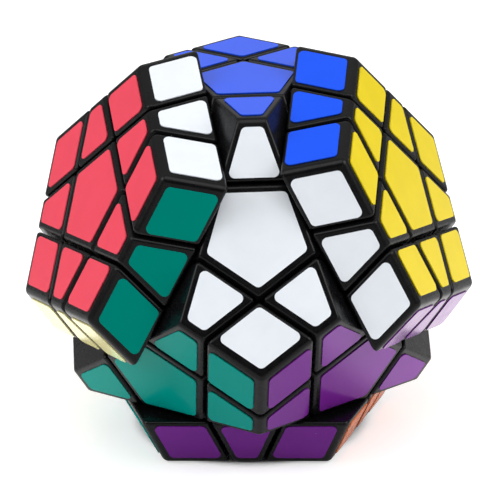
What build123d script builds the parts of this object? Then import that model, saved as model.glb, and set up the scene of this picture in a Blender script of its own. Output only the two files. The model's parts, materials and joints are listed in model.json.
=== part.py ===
from build123d import *
import math
import os

# Dodecahedron twisty puzzle: a twelve-armed core carries twelve sprung centres, and the
# centres hold thirty edge pieces and twenty corner pieces. Three layers stand part-turned.
# The origin is the centre of the core, +Z goes up through the blue face, and the white face
# looks towards -Y. Lengths are millimetres, angles are degrees.

# The solid and its cuts
EDGE_LENGTH = 30.0          # edge of the dodecahedron
LAYER_WIDTH = 11.75         # from an edge to the cut line parallel to it, on a face
CLEARANCE = 0.2             # from each piece to the ideal cut surface
OUTER_FILLET = 1.4          # along the dodecahedron's own edges
PIECE_FILLET = 0.6          # along every other edge of a piece
WALL = 1.6                  # wall of the hollow shells

# Turns of the three layers, counter-clockwise when seen from outside
RED_TURN = 46.9
YELLOW_TURN = 20.4
LIGHT_BLUE_TURN = 41.0

# The hidden mechanism, as cones about each face's axis and spheres about the origin
STALK_ANGLE = 42.0          # half angle of the cone around a layer's stalks
FOOT_ANGLE = 49.0           # half angle of the cone around a layer's feet
FOOT_SPHERE = 24.0          # top of the feet
CORE_SPHERE = 18.0          # bottom of the feet
EDGE_SEAM = 31.0            # sphere where an edge's shell meets its foot
CORNER_SEAM = 33.0          # sphere where a corner's shell meets its foot
SEAM_GAP = 0.05
PLUG_HEIGHT = 2.5           # how far a foot's plug goes into its shell
PLUG_GAP = 0.1
FOOT_BORE_FLOOR = 20.5      # where the bore that lightens a foot ends, from the origin
EDGE_BORE_LENGTH = 8.5
EDGE_BORE_WIDTH = 3.4
CORNER_BORE_RADIUS = 1.4

# Centres: body, cap and the sprung screw that holds them
CAP_THICKNESS = 2.5
CAP_RIM_HEIGHT = 1.6
CAP_RIM_APOTHEM = 7.7
CAP_RIM_WALL = 1.4
POCKET_APOTHEM = 7.8
POCKET_FLOOR = 27.0         # height of the pocket's floor above the origin
SPRING_FLOOR = 23.5         # height of the spring's seat
SPRING_WELL_RADIUS = 4.1
SCREW_HOLE_RADIUS = 1.6
SHANK_RADIUS = 1.25
SCREW_HEAD_RADIUS = 2.8
SCREW_HEAD_HEIGHT = 1.8
SCREW_HEAD_FILLET = 0.6
SCREW_TIP = 9.0
SCREW_TIP_CHAMFER = 0.4
WASHER_RADIUS = 3.4
WASHER_BORE_RADIUS = 1.4
WASHER_THICKNESS = 0.5
WASHER_BOTTOM = 27.7
RECESS_LENGTH = 3.2
RECESS_WIDTH = 0.7
RECESS_DEPTH = 1.0
SPRING_RADIUS = 2.3
WIRE_RADIUS = 0.3
SPRING_TURNS = 4
SPRING_END_GAP = 0.02

# Core
HUB_RADIUS = 10.0
ARM_RADIUS = 3.8
ARM_END = 17.7
PILOT_RADIUS = 1.28
PILOT_BOTTOM = 8.5
DOWEL_COUNT = 3
DOWEL_CIRCLE = 6.2
DOWEL_RADIUS = 1.0
DOWEL_LENGTH = 2.5
DOWEL_GAP = 0.05

# Stickers
STICKER_THICKNESS = 0.2
STICKER_CORNER = 1.0
CENTRE_INSET = 1.30         # from the cut lines to a centre's sticker
INNER_INSET = 1.22          # from the cut lines to an edge's or corner's sticker
OUTER_INSET = 1.52          # from the dodecahedron's edges to a sticker

# Angles and distances of the dodecahedron
SIDES = 5
STEP = 360.0 / SIDES
FACE_ANGLE = math.degrees(math.acos(1 / math.sqrt(5)))
INRADIUS = EDGE_LENGTH / 2 * math.sqrt((25 + 11 * math.sqrt(5)) / 10)
FACE_APOTHEM = EDGE_LENGTH / 2 / math.tan(math.radians(STEP / 2))
CUT_HEIGHT = INRADIUS - LAYER_WIDTH * math.sin(math.radians(FACE_ANGLE))
CUT_APOTHEM = FACE_APOTHEM - LAYER_WIDTH
FAR = 60.0                  # beyond every point of the puzzle
TOLERANCE = 0.05            # between measures that count as equal
CENTRE = (0, 0, 0)


def direction(azimuth, polar):
    """Unit vector; azimuth 0 looks towards -Y, 90 towards +X, and polar 0 is up."""
    a, p = math.radians(azimuth), math.radians(polar)
    return Vector(math.sin(a) * math.sin(p), -math.cos(a) * math.sin(p), math.cos(p))


FACES = {
    "blue": direction(0, 0),
    "white": direction(0, FACE_ANGLE),
    "yellow": direction(STEP, FACE_ANGLE),
    "light_green": direction(2 * STEP, FACE_ANGLE),
    "pink": direction(-2 * STEP, FACE_ANGLE),
    "red": direction(-STEP, FACE_ANGLE),
    "purple": direction(STEP / 2, 180 - FACE_ANGLE),
    "orange": direction(3 * STEP / 2, 180 - FACE_ANGLE),
    "gray": direction(180, 180 - FACE_ANGLE),
    "cream": direction(-3 * STEP / 2, 180 - FACE_ANGLE),
    "green": direction(-STEP / 2, 180 - FACE_ANGLE),
    "light_blue": direction(0, 180),
}

# Each turned layer is a body of its own, named by its face
TURNED = {
    "red": ("red_layer", RED_TURN),
    "yellow": ("yellow_layer", YELLOW_TURN),
    "light_blue": ("bottom_layer", LIGHT_BLUE_TURN),
}


def neighbours(face):
    """The five faces around a face, in counter-clockwise order."""
    lean = math.cos(math.radians(FACE_ANGLE))
    near = [other for other in FACES if abs(FACES[other].dot(FACES[face]) - lean) < TOLERANCE]
    start = frame(face, near[0])

    def azimuth(other):
        local = start.to_local_coords(FACES[other])
        return round(math.degrees(math.atan2(local.Y, local.X))) % 360

    return sorted(near, key=azimuth)


def frame(face, other):
    """Frame with +Z out of a face and +X leaning towards a neighbouring face."""
    normal = FACES[face]
    lean = FACES[other] - normal * FACES[other].dot(normal)
    return Plane(origin=CENTRE, x_dir=lean, z_dir=normal)


# In the frame of one face, the normals of that face and of its five neighbours
TOP = Vector(0, 0, 1)
SIDE = [
    Vector(
        math.sin(math.radians(FACE_ANGLE)) * math.cos(math.radians(STEP * k)),
        math.sin(math.radians(FACE_ANGLE)) * math.sin(math.radians(STEP * k)),
        math.cos(math.radians(FACE_ANGLE)),
    )
    for k in range(SIDES)
]


# ---- Half spaces and layers ------------------------------------------------------------


def below(solid, normal, height):
    """The part of a solid that lies under a plane."""
    return split(solid, bisect_by=Plane(origin=normal * height, z_dir=normal), keep=Keep.BOTTOM)


def above(solid, normal, height):
    return below(solid, -normal, -height)


def polyhedron(floors, ceilings):
    """Convex solid over the (normal, height) floors and under the (normal, height) ceilings."""
    solid = Box(2 * FAR, 2 * FAR, 2 * FAR)
    for normal, height in floors:
        solid = above(solid, normal, height)
    for normal, height in ceilings:
        solid = below(solid, normal, height)
    return solid


def cone_point(angle, offset, radius):
    """Where a cone's line, moved towards the axis by offset, meets a sphere."""
    a = math.radians(angle)
    along = math.sqrt(radius**2 - offset**2)
    return (
        along * math.sin(a) - offset * math.cos(a),
        0,
        along * math.cos(a) + offset * math.sin(a),
    )


def sphere_arc(start, end):
    """Arc about the origin from one point of the XZ plane to another."""
    middle = (Vector(start) + Vector(end)).normalized() * Vector(start).length
    return ThreePointArc(start, middle, end)


def layer(normal, offset):
    """Everything that turns with a face, shrunk by offset (or grown, where it is negative)."""
    a = math.radians(STALK_ANGLE)
    floor = CUT_HEIGHT + offset
    knee = ((floor * math.sin(a) - offset) / math.cos(a), 0, floor)
    foot_top = FOOT_SPHERE - offset
    foot_bottom = CORE_SPHERE + offset
    stalk_end = cone_point(STALK_ANGLE, offset, foot_top)
    toe = cone_point(FOOT_ANGLE, offset, foot_top)
    heel = cone_point(FOOT_ANGLE, offset, foot_bottom)
    bottom = (0, 0, foot_bottom)
    outline = Polyline(bottom, (0, 0, FAR), (FAR, 0, FAR), (FAR, 0, floor), knee, stalk_end)
    outline += sphere_arc(stalk_end, toe)
    outline += Line(toe, heel)
    outline += sphere_arc(heel, bottom)
    solid = revolve(make_face(outline), Axis.Z)
    return Plane(origin=CENTRE, z_dir=normal).location * solid


def round_piece(solid):
    """Large fillets on the dodecahedron's own edges, then small ones on the others."""
    outer = [
        edge
        for edge in solid.edges()
        if sum(abs(edge.center().dot(n) - INRADIUS) < TOLERANCE for n in [TOP] + SIDE) == 2
    ]
    others = [edge for edge in solid.edges() if edge not in outer]
    if not outer:
        return fillet(others, PIECE_FILLET)
    # The large fillets shorten the other edges, which moves their middles a little
    middles = [edge.center() for edge in others]
    solid = fillet(outer, OUTER_FILLET)
    rest = [
        edge
        for edge in solid.edges().filter_by(GeomType.LINE)
        if min((edge.center() - middle).length for middle in middles) < OUTER_FILLET
    ]
    return fillet(rest, PIECE_FILLET)


# ---- Pieces, in the frame of one face --------------------------------------------------


def shell_and_foot(members, strangers, seam, bore):
    """A hollow shell, and the foot that plugs into it from inside.

    The piece turns with the faces in members, and stays when those in strangers turn. A
    blind bore with the given outline lightens the foot.
    """
    floors = [(n, CUT_HEIGHT + CLEARANCE) for n in members]
    ceilings = [(n, INRADIUS) for n in members]
    ceilings += [(n, CUT_HEIGHT - CLEARANCE) for n in strangers]
    outside = round_piece(polyhedron(floors, ceilings))
    cavity_floors = [(n, h + WALL) for n, h in floors]
    cavity_ceilings = [(n, h - WALL) for n, h in ceilings]
    shell = outside - polyhedron(cavity_floors, cavity_ceilings) - Sphere(seam + SEAM_GAP)

    foot = Sphere(seam)
    for n in members:
        foot = foot & layer(n, CLEARANCE)
    for n in strangers:
        foot = foot - layer(n, -CLEARANCE)
    plug_floors = [(n, h + PLUG_GAP) for n, h in cavity_floors]
    plug_ceilings = [(n, h - PLUG_GAP) for n, h in cavity_ceilings]
    plug = polyhedron(plug_floors, plug_ceilings) & Sphere(seam + PLUG_HEIGHT)
    outwards = sum(members, Vector())
    hole = Plane(origin=CENTRE, x_dir=(0, 1, 0), z_dir=outwards).location * standing(
        bore, FOOT_BORE_FLOOR, FAR
    )
    return shell, foot + plug - hole


def pentagon(apothem):
    return RegularPolygon(apothem, SIDES, major_radius=False, rotation=STEP / 2)


def standing(sketch, bottom, top):
    """A flat outline raised into a prism between two heights over the origin."""
    return Pos(0, 0, bottom) * extrude(sketch, top - bottom)


def centre_pieces():
    """Body and cap of a centre."""
    seam = INRADIUS - CAP_THICKNESS
    ceilings = [(TOP, INRADIUS)] + [(n, CUT_HEIGHT - CLEARANCE) for n in SIDE]
    outside = round_piece(polyhedron([(TOP, CORE_SPHERE)], ceilings))
    rim = pentagon(CAP_RIM_APOTHEM) - pentagon(CAP_RIM_APOTHEM - CAP_RIM_WALL)
    cap = above(outside, TOP, seam) + standing(rim, seam - CAP_RIM_HEIGHT, seam)

    body = below(outside, TOP, seam) & layer(TOP, CLEARANCE)
    for n in SIDE:
        body = body - layer(n, -CLEARANCE)
    body = body - standing(pentagon(POCKET_APOTHEM), POCKET_FLOOR, seam)
    body = body - standing(Circle(SPRING_WELL_RADIUS), SPRING_FLOOR, POCKET_FLOOR)
    body = body - standing(Circle(SCREW_HOLE_RADIUS), 0, SPRING_FLOOR)
    return body, cap


def screw():
    head_bottom = WASHER_BOTTOM + WASHER_THICKNESS
    head_top = head_bottom + SCREW_HEAD_HEIGHT
    head = standing(Circle(SCREW_HEAD_RADIUS), head_bottom, head_top)
    head = fillet(head.edges().group_by(Axis.Z)[-1], SCREW_HEAD_FILLET)
    cross = Rectangle(RECESS_LENGTH, RECESS_WIDTH) + Rectangle(RECESS_WIDTH, RECESS_LENGTH)
    head = head - standing(cross, head_top - RECESS_DEPTH, head_top)
    shank = standing(Circle(SHANK_RADIUS), SCREW_TIP, head_bottom)
    return head + chamfer(shank.edges().group_by(Axis.Z)[0], SCREW_TIP_CHAMFER)


def washer():
    ring = Circle(WASHER_RADIUS) - Circle(WASHER_BORE_RADIUS)
    return standing(ring, WASHER_BOTTOM, WASHER_BOTTOM + WASHER_THICKNESS)


def spring():
    height = WASHER_BOTTOM - SPRING_FLOOR - 2 * (WIRE_RADIUS + SPRING_END_GAP)
    path = Helix(pitch=height / SPRING_TURNS, height=height, radius=SPRING_RADIUS)
    wire = sweep(Plane(origin=path @ 0, z_dir=path % 0) * Circle(WIRE_RADIUS), path, is_frenet=True)
    return Pos(0, 0, SPRING_FLOOR + WIRE_RADIUS + SPRING_END_GAP) * wire


def core_halves():
    """The twelve-armed core, moulded as two halves that dowels line up."""
    core = Sphere(HUB_RADIUS)
    holes = []
    for normal in FACES.values():
        place = Plane(origin=CENTRE, z_dir=normal).location
        core = core + place * standing(Circle(ARM_RADIUS), 0, ARM_END)
        holes.append(place * standing(Circle(PILOT_RADIUS), PILOT_BOTTOM, ARM_END))
    for hole in holes:
        core = core - hole
    upper = above(core, TOP, 0)
    lower = below(core, TOP, 0)
    for place in PolarLocations(DOWEL_CIRCLE, DOWEL_COUNT):
        upper = upper + place * standing(Circle(DOWEL_RADIUS), -DOWEL_LENGTH, 0)
        socket = Circle(DOWEL_RADIUS + DOWEL_GAP)
        lower = lower - place * standing(socket, -DOWEL_LENGTH - DOWEL_GAP, 0)
    return upper, lower


# ---- Stickers, in the frame of one face ------------------------------------------------


def line_crossing(azimuth_a, distance_a, azimuth_b, distance_b):
    """Where two lines of a face meet, each given by its normal's azimuth and its distance."""
    a, b = math.radians(azimuth_a), math.radians(azimuth_b)
    scale = math.sin(b - a)
    x = (distance_a * math.sin(b) - distance_b * math.sin(a)) / scale
    y = (distance_b * math.cos(a) - distance_a * math.cos(b)) / scale
    return (x, y)


def sticker(lines):
    """Sticker whose sides are the given (azimuth, distance) lines, in order round it."""
    corners = [line_crossing(*lines[k - 1], *lines[k]) for k in range(len(lines))]
    outline = make_face(Polyline(*corners, close=True))
    outline = fillet(outline.vertices(), STICKER_CORNER)
    return standing(outline, INRADIUS, INRADIUS + STICKER_THICKNESS)


def centre_sticker():
    return sticker([(STEP * k, CUT_APOTHEM - CENTRE_INSET) for k in range(SIDES)])


def edge_sticker():
    inner = (0, CUT_APOTHEM + INNER_INSET)
    outer = (0, FACE_APOTHEM - OUTER_INSET)
    end = CUT_APOTHEM - INNER_INSET
    return sticker([outer, (STEP, end), inner, (-STEP, end)])


def corner_sticker():
    near = CUT_APOTHEM + INNER_INSET
    far = FACE_APOTHEM - OUTER_INSET
    return sticker([(0, far), (STEP, far), (0, near), (STEP, near)])


# ---- Assembly --------------------------------------------------------------------------


def body_of(faces):
    """The body that carries the piece with these faces, and how it is turned."""
    for face in faces:
        if face in TURNED:
            body, turn = TURNED[face]
            return body, Axis(CENTRE, FACES[face]), turn
    return "main_body", Axis.Z, 0


NODES = {}


def place(node, shape, where, faces):
    """Adds a copy of a shape to its body's node, turned with the layer that the piece is in."""
    body, axis, turn = body_of(faces)
    copy = (where.location * shape).solid().rotate(axis, turn)
    NODES.setdefault(f"{body}_{node}", []).append(copy)


def main():
    centre_body, centre_cap = centre_pieces()
    edge_bore = SlotOverall(EDGE_BORE_LENGTH, EDGE_BORE_WIDTH)
    edge_shell, edge_foot = shell_and_foot(
        [TOP, SIDE[0]], [SIDE[1], SIDE[-1]], EDGE_SEAM, edge_bore
    )
    corner_shell, corner_foot = shell_and_foot(
        [TOP, SIDE[0], SIDE[1]], [], CORNER_SEAM, Circle(CORNER_BORE_RADIUS)
    )
    fittings = {"centre_screws": screw(), "centre_springs": spring(), "spring_washers": washer()}
    face_stickers = [centre_sticker(), edge_sticker(), corner_sticker()]
    done = set()

    for face in FACES:
        ring = neighbours(face)
        upright = frame(face, ring[0])
        place("centre_bodies", centre_body, upright, [face])
        place("centre_caps", centre_cap, upright, [face])
        place(f"{face}_stickers", face_stickers[0], upright, [face])
        for name, fitting in fittings.items():
            NODES.setdefault(name, []).append((upright.location * fitting).solid())
        for k, side in enumerate(ring):
            turned = frame(face, side)
            edge = frozenset([face, side])
            corner = frozenset([face, side, ring[(k + 1) % SIDES]])
            place(f"{face}_stickers", face_stickers[1], turned, edge)
            place(f"{face}_stickers", face_stickers[2], turned, corner)
            # An edge is met from two faces and a corner from three, but each is one piece
            if edge not in done:
                place("edge_shells", edge_shell, turned, edge)
                place("edge_feet", edge_foot, turned, edge)
            if corner not in done:
                place("corner_shells", corner_shell, turned, corner)
                place("corner_feet", corner_foot, turned, corner)
            done.update([edge, corner])

    upper, lower = core_halves()
    NODES["core_upper_half"] = [upper]
    NODES["core_lower_half"] = [lower]

    os.makedirs("parts", exist_ok=True)
    for name, solids in NODES.items():
        shape = solids[0] if len(solids) == 1 else Compound(solids)
        export_step(shape, f"parts/{name}.step")


main()
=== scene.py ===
import json
import math

import bpy
from mathutils import Matrix, Vector


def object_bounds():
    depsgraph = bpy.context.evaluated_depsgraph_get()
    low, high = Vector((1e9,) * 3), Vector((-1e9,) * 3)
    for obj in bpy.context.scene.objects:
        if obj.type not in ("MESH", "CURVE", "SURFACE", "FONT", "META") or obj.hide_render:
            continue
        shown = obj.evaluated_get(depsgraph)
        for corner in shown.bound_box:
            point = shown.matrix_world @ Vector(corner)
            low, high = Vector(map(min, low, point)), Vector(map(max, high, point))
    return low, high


# The looks of the dodecahedron twisty puzzle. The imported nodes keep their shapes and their
# bodies; this script gives them materials, softens the stickers' rims, and adds the floor,
# the light and the camera. Lengths are metres and angles are degrees, unless said otherwise.

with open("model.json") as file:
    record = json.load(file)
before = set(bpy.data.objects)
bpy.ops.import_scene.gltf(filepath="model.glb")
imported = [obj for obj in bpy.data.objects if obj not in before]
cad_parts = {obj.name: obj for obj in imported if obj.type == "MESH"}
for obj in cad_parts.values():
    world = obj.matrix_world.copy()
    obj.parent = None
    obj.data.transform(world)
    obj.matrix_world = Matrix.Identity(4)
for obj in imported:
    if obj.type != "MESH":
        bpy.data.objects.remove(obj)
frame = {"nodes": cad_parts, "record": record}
cad_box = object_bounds()
nodes = frame["nodes"]

MM = 0.001

# Camera
CAMERA_AIM = (0.26 * MM, 0.01 * MM, 0.06 * MM)
CAMERA_AZIMUTH = -2.757         # from -Y, positive towards +X
CAMERA_ELEVATION = 22.075
CAMERA_ROLL = 0.857
CAMERA_DISTANCE = 0.6888
CAMERA_LENS = 268.96            # mm, on a 36 mm sensor

# Base colours of the vinyl, linear
STICKER_COLOURS = {
    "white": (0.79, 0.83, 0.88),
    "blue": (0.008, 0.088, 0.84),
    "red": (0.93, 0.078, 0.125),
    "yellow": (0.92, 0.71, 0.001),
    "green": (0.000, 0.200, 0.153),
    "purple": (0.156, 0.015, 0.243),
    "light_blue": (0.15, 0.50, 0.80),
    "orange": (0.85, 0.22, 0.07),
    "gray": (0.22, 0.23, 0.25),
    "cream": (0.82, 0.75, 0.32),
    "pink": (0.83, 0.25, 0.42),
    "light_green": (0.18, 0.60, 0.05),
}

# Shader settings of single colours of vinyl. Green keeps its colour where it is seen aslant.
FINISHES = {
    "vinyl_green": {
        "Specular IOR Level": 0.15,
        "Sheen Weight": 1.0,
        "Sheen Roughness": 0.4,
        "Sheen Tint": (0.0, 1.0, 1.0, 1),
    },
}

DUST_COLOUR = (0.75, 0.75, 0.75)
SHELL_BLACK = (0.003, 0.003, 0.0035)
INNER_BLACK = (0.010, 0.010, 0.011)
CORE_WHITE = (0.62, 0.62, 0.59)

# Sizes of the patterns in the materials
VINYL_MOTTLE = 6 * MM
VINYL_DUST = 0.35 * MM
VINYL_GLOSS = 2.5 * MM
VINYL_WAVE = 5 * MM
VINYL_WAVE_DEPTH = 0.05 * MM
VINYL_PEEL = 0.5 * MM
VINYL_PEEL_DEPTH = 0.004 * MM
PLASTIC_HAZE = 5 * MM
PLASTIC_SCUFFS = 0.6 * MM
PLASTIC_GLOSS = 2 * MM
PLASTIC_GRAIN = 0.12 * MM
PLASTIC_GRAIN_DEPTH = 0.003 * MM
STEEL_TONE = 0.8 * MM
STEEL_GLOSS = 0.2 * MM
FLOOR_TONE = 200 * MM


# ---- Node helpers ----------------------------------------------------------------------


def new_material(name):
    """An empty node material; returns it with its tree, shader and object coordinates."""
    material = bpy.data.materials.new(name)
    material.use_nodes = True
    tree = material.node_tree
    shader = tree.nodes["Principled BSDF"]
    place = tree.nodes.new("ShaderNodeTexCoord").outputs["Object"]
    return material, tree, shader, place


def noise(tree, place, size, detail=3.0, roughness=0.5):
    """Noise whose features are about size metres across."""
    node = tree.nodes.new("ShaderNodeTexNoise")
    node.inputs["Scale"].default_value = 1 / size
    node.inputs["Detail"].default_value = detail
    node.inputs["Roughness"].default_value = roughness
    tree.links.new(place, node.inputs["Vector"])
    return node.outputs["Fac"]


def ramp(tree, factor, stops):
    """Colour ramp; stops are (position, colour or grey level)."""
    node = tree.nodes.new("ShaderNodeValToRGB")
    elements = node.color_ramp.elements
    while len(elements) < len(stops):
        elements.new(0.5)
    for element, (position, colour) in zip(elements, stops):
        grey = isinstance(colour, float)
        element.position = position
        element.color = (colour, colour, colour, 1) if grey else (*colour, 1)
    tree.links.new(factor, node.inputs["Fac"])
    return node.outputs["Color"]


def mix(tree, factor, first, second):
    """Mixes two colours, each a colour or a socket."""
    node = tree.nodes.new("ShaderNodeMix")
    node.data_type = "RGBA"
    for name, value in (("A", first), ("B", second)):
        socket = [s for s in node.inputs if s.name == name and s.type == "RGBA"][0]
        if isinstance(value, tuple):
            socket.default_value = (*value, 1)
        else:
            tree.links.new(value, socket)
    tree.links.new(factor, node.inputs["Factor"])
    return [s for s in node.outputs if s.type == "RGBA"][0]


def bump(tree, height, distance, strength, under=None):
    """Bump of the given depth in metres; under is the bump that it lies on."""
    node = tree.nodes.new("ShaderNodeBump")
    node.inputs["Distance"].default_value = distance
    node.inputs["Strength"].default_value = strength
    tree.links.new(height, node.inputs["Height"])
    if under:
        tree.links.new(under, node.inputs["Normal"])
    return node.outputs["Normal"]


def smooth_step(tree, value, start, end, first, last):
    """Goes smoothly from first to last as a value goes from start to end."""
    node = tree.nodes.new("ShaderNodeMapRange")
    node.interpolation_type = "SMOOTHSTEP"
    tree.links.new(value, node.inputs["Value"])
    settings = {"From Min": start, "From Max": end, "To Min": first, "To Max": last}
    for name, setting in settings.items():
        node.inputs[name].default_value = setting
    return node.outputs["Result"]


def calculate(tree, operation, *values):
    """A Math node on one or two sockets."""
    node = tree.nodes.new("ShaderNodeMath")
    node.operation = operation
    for socket, value in zip(node.inputs, values):
        tree.links.new(value, socket)
    return node.outputs["Value"]


def shade(colour, factor):
    """The colour times a factor, with no channel over 1."""
    return tuple(min(1.0, channel * factor) for channel in colour)


# ---- Materials -------------------------------------------------------------------------


def vinyl(name, colour):
    """Printed vinyl film: faint mottling, a soft orange-peel gloss and a little dust."""
    material, tree, shader, place = new_material(name)
    tones = [(0.3, shade(colour, 0.97)), (0.7, shade(colour, 1.02))]
    mottle = ramp(tree, noise(tree, place, VINYL_MOTTLE), tones)
    dust = ramp(tree, noise(tree, place, VINYL_DUST, detail=1.0), [(0.82, 0.0), (0.85, 0.35)])
    colour_out = mix(tree, dust, mottle, DUST_COLOUR)
    tree.links.new(colour_out, shader.inputs["Base Color"])
    gloss = ramp(tree, noise(tree, place, VINYL_GLOSS), [(0.3, 0.16), (0.7, 0.22)])
    tree.links.new(gloss, shader.inputs["Roughness"])
    wave = bump(tree, noise(tree, place, VINYL_WAVE, detail=1.0), VINYL_WAVE_DEPTH, 0.12)
    fine = noise(tree, place, VINYL_PEEL, detail=2.0)
    peel = bump(tree, fine, VINYL_PEEL_DEPTH, 0.25, wave)
    tree.links.new(peel, shader.inputs["Normal"])
    shader.inputs["IOR"].default_value = 1.38
    shader.inputs["Specular IOR Level"].default_value = 0.8
    shader.inputs["Specular Tint"].default_value = (*shade(colour, 1 / max(colour)), 1)
    for socket, value in FINISHES.get(name, {}).items():
        shader.inputs[socket].default_value = value
    return material


def moulded_plastic(name, colour, low, high):
    """Plastic of roughness low to high, with a fine grain, hazy patches and small rubs."""
    material, tree, shader, place = new_material(name)
    tones = [(0.3, shade(colour, 0.8)), (0.75, shade(colour, 1.35))]
    haze = ramp(tree, noise(tree, place, PLASTIC_HAZE), tones)
    streaks = tree.nodes.new("ShaderNodeMapping")
    streaks.inputs["Scale"].default_value = (1, 1, 0.25)
    tree.links.new(place, streaks.inputs["Vector"])
    rubbed = streaks.outputs["Vector"]
    scuffs = noise(tree, rubbed, PLASTIC_SCUFFS, detail=5.0, roughness=0.75)
    rubs = ramp(tree, scuffs, [(0.60, 0.0), (0.74, 0.5)])
    colour_out = mix(tree, rubs, haze, shade(colour, 8.0))
    tree.links.new(colour_out, shader.inputs["Base Color"])
    gloss = ramp(tree, noise(tree, place, PLASTIC_GLOSS, detail=5.0), [(0.3, low), (0.7, high)])
    tree.links.new(gloss, shader.inputs["Roughness"])
    grain = bump(tree, noise(tree, place, PLASTIC_GRAIN, detail=2.0), PLASTIC_GRAIN_DEPTH, 0.5)
    tree.links.new(grain, shader.inputs["Normal"])
    shader.inputs["Specular IOR Level"].default_value = 0.2
    return material


def plated_steel(name):
    """Bright zinc plating with faint drawing marks."""
    material, tree, shader, place = new_material(name)
    tone = ramp(tree, noise(tree, place, STEEL_TONE), [(0.3, 0.50), (0.7, 0.66)])
    tree.links.new(tone, shader.inputs["Base Color"])
    gloss = ramp(tree, noise(tree, place, STEEL_GLOSS, detail=4.0), [(0.3, 0.24), (0.7, 0.40)])
    tree.links.new(gloss, shader.inputs["Roughness"])
    shader.inputs["Metallic"].default_value = 1.0
    return material


materials = {}
for name, colour in STICKER_COLOURS.items():
    materials["sticker_" + name] = vinyl("vinyl_" + name, colour)
materials["black_shell"] = moulded_plastic("black_shell", SHELL_BLACK, 0.22, 0.32)
materials["inner_plastic"] = moulded_plastic("inner_plastic", INNER_BLACK, 0.40, 0.52)
materials["core_plastic"] = moulded_plastic("core_plastic", CORE_WHITE, 0.42, 0.55)
for slot_name in ("screw_steel", "spring_steel", "washer_steel"):
    materials[slot_name] = plated_steel(slot_name)


# ---- Nodes -----------------------------------------------------------------------------

SMOOTH_LIMIT = 24               # edges that bend more than this stay sharp
RIM_WIDTH = 0.07 * MM
RIM_SEGMENTS = 2

slots = {part["node"]: part["material_slot"] for part in frame["record"]["subparts"]}

for name, piece in nodes.items():
    piece.data.materials.clear()
    piece.data.materials.append(materials[slots[name]])
    piece.data.shade_smooth()
    piece.data.set_sharp_from_angle(angle=math.radians(SMOOTH_LIMIT))
    if name.endswith("_stickers"):
        rim = piece.modifiers.new("rim", "BEVEL")
        rim.width = RIM_WIDTH
        rim.segments = RIM_SEGMENTS
        rim.limit_method = "ANGLE"
        rim.harden_normals = True


# ---- Floor, light and camera -----------------------------------------------------------

FLOOR_SIZE = 1.4
FLOOR_LIFT = 0.52               # added to the floor for the camera alone
LIFT_START = 0.0195             # distance from the puzzle's axis; closer in, the lift fades out, which paints a shadow round the base
LIFT_FULL = 0.0230
GLOW_LEVEL = 0.90               # light from below, to the left and right of the puzzle
GLOW_START = 0.026              # distance to the left or right
GLOW_FULL = 0.034
GLOW_FADE = 0.055               # distance from the puzzle's axis
GLOW_END = 0.100
TENT_LOW = 0.20                 # at the horizon
TENT_HIGH = 0.6
TENT_TOP = 60                   # elevation from which the tent has its full level
SEEN_LEVEL = 1.0                # the tent as the camera sees it
OPENING_LEVEL = 0.1             # times the tent's own level
OPENING_AZIMUTH = 0
OPENING_ELEVATION = 30
OPENING_INNER = 25              # half angle of the darkest part of the opening
OPENING_OUTER = 50              # half angle where the opening ends

# Name, azimuth, elevation, distance, side, power in watts
SOFTBOXES = (
    ("top_softbox", 0, 62, 1.2, 0.85, 5.3),
    ("left_softbox", -70, 34, 1.3, 0.8, 7.3),
    ("right_softbox", 68, 34, 1.3, 0.8, 8.0),
    ("back_softbox", 180, 30, 1.3, 0.9, 0.8),
)
floor_height = cad_box[0][2]


def add_floor():
    """A pale floor, lit from below at the puzzle's sides and near white for the camera."""
    bpy.ops.mesh.primitive_plane_add(size=FLOOR_SIZE, location=(0, 0, floor_height))
    floor = bpy.context.object
    floor.name = "floor"
    material, tree, shader, place = new_material("pale_floor")
    tone = ramp(tree, noise(tree, place, FLOOR_TONE), [(0.3, 0.75), (0.7, 0.77)])
    tree.links.new(tone, shader.inputs["Base Color"])
    shader.inputs["Roughness"].default_value = 0.6
    shader.inputs["Specular IOR Level"].default_value = 0.2
    axes = tree.nodes.new("ShaderNodeSeparateXYZ")
    tree.links.new(place, axes.inputs["Vector"])
    sideways = calculate(tree, "ABSOLUTE", axes.outputs["X"])
    away = tree.nodes.new("ShaderNodeVectorMath")
    away.operation = "LENGTH"
    tree.links.new(place, away.inputs[0])
    start = smooth_step(tree, sideways, GLOW_START, GLOW_FULL, 0, GLOW_LEVEL)
    end = smooth_step(tree, away.outputs["Value"], GLOW_FADE, GLOW_END, 1, 0)
    glow = calculate(tree, "MULTIPLY", start, end)
    # Painted shadow: the camera-only lift fades out close to the puzzle's base, so the floor
    # looks darker there.
    lift = smooth_step(tree, away.outputs["Value"], LIFT_START, LIFT_FULL, 0, FLOOR_LIFT)
    strength = tree.nodes.new("ShaderNodeMix")
    seen = tree.nodes.new("ShaderNodeLightPath").outputs["Is Camera Ray"]
    tree.links.new(seen, strength.inputs["Factor"])
    tree.links.new(glow, strength.inputs["A"])
    tree.links.new(lift, strength.inputs["B"])
    tree.links.new(strength.outputs["Result"], shader.inputs["Emission Strength"])
    shader.inputs["Emission Color"].default_value = (1, 1, 1, 1)
    floor.data.materials.append(material)


def towards(azimuth, elevation):
    """Unit vector; azimuth 0 looks towards -Y, 90 towards +X."""
    across, up = math.radians(azimuth), math.radians(elevation)
    flat = math.cos(up)
    return Vector((math.sin(across) * flat, -math.cos(across) * flat, math.sin(up)))


def add_softbox(name, azimuth, elevation, distance, size, power):
    """A square area light that faces the puzzle."""
    light = bpy.data.lights.new(name, "AREA")
    light.energy = power
    light.size = size
    lamp = bpy.data.objects.new(name, light)
    away = towards(azimuth, elevation)
    lamp.location = away * distance
    lamp.rotation_euler = away.to_track_quat("Z", "Y").to_euler()
    bpy.context.scene.collection.objects.link(lamp)


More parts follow.
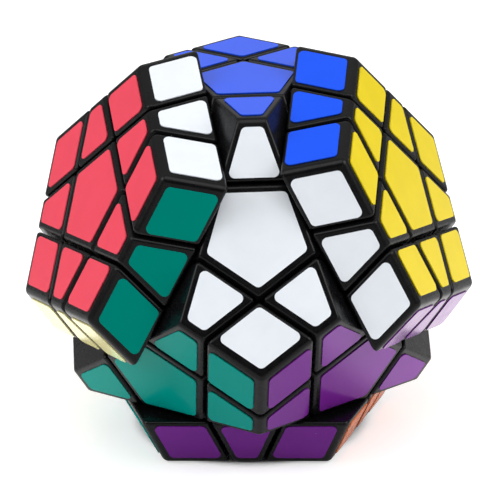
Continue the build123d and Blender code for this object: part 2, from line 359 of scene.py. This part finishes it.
def add_world():
    """A pale tent all round, with a dark opening in front. The camera itself sees white."""
    world = bpy.data.worlds.new("light_tent")
    world.use_nodes = True
    tree = world.node_tree
    place = tree.nodes.new("ShaderNodeTexCoord").outputs["Generated"]
    facing = tree.nodes.new("ShaderNodeVectorMath")
    facing.operation = "DOT_PRODUCT"
    facing.inputs[1].default_value = towards(OPENING_AZIMUTH, OPENING_ELEVATION)
    tree.links.new(place, facing.inputs[0])
    inner = math.cos(math.radians(OPENING_INNER))
    outer = math.cos(math.radians(OPENING_OUTER))
    opening = smooth_step(tree, facing.outputs["Value"], outer, inner, 1, OPENING_LEVEL)
    height = tree.nodes.new("ShaderNodeSeparateXYZ")
    tree.links.new(place, height.inputs["Vector"])
    top = math.sin(math.radians(TENT_TOP))
    tent = smooth_step(tree, height.outputs["Z"], 0, top, TENT_LOW, TENT_HIGH)
    level = tree.nodes.new("ShaderNodeMix")
    seen = tree.nodes.new("ShaderNodeLightPath").outputs["Is Camera Ray"]
    tree.links.new(seen, level.inputs["Factor"])
    tree.links.new(calculate(tree, "MULTIPLY", tent, opening), level.inputs["A"])
    level.inputs["B"].default_value = SEEN_LEVEL
    background = tree.nodes["Background"]
    background.inputs["Color"].default_value = (1, 1, 1, 1)
    tree.links.new(level.outputs["Result"], background.inputs["Strength"])
    bpy.context.scene.world = world


def add_camera():
    """The camera that the photo was taken with, as far as one view tells."""
    lens = bpy.data.cameras.new("camera")
    lens.lens = CAMERA_LENS
    camera = bpy.data.objects.new("camera", lens)
    away = towards(CAMERA_AZIMUTH, CAMERA_ELEVATION)
    turn = away.to_track_quat("Z", "Y").to_matrix().to_4x4()
    roll = Matrix.Rotation(math.radians(-CAMERA_ROLL), 4, "Z")
    place = Matrix.Translation(Vector(CAMERA_AIM) + away * CAMERA_DISTANCE)
    camera.matrix_world = place @ turn @ roll
    bpy.context.scene.collection.objects.link(camera)
    bpy.context.scene.camera = camera


add_floor()
add_world()
for softbox in SOFTBOXES:
    add_softbox(*softbox)
add_camera()
bpy.context.scene.view_settings.view_transform = "Standard"
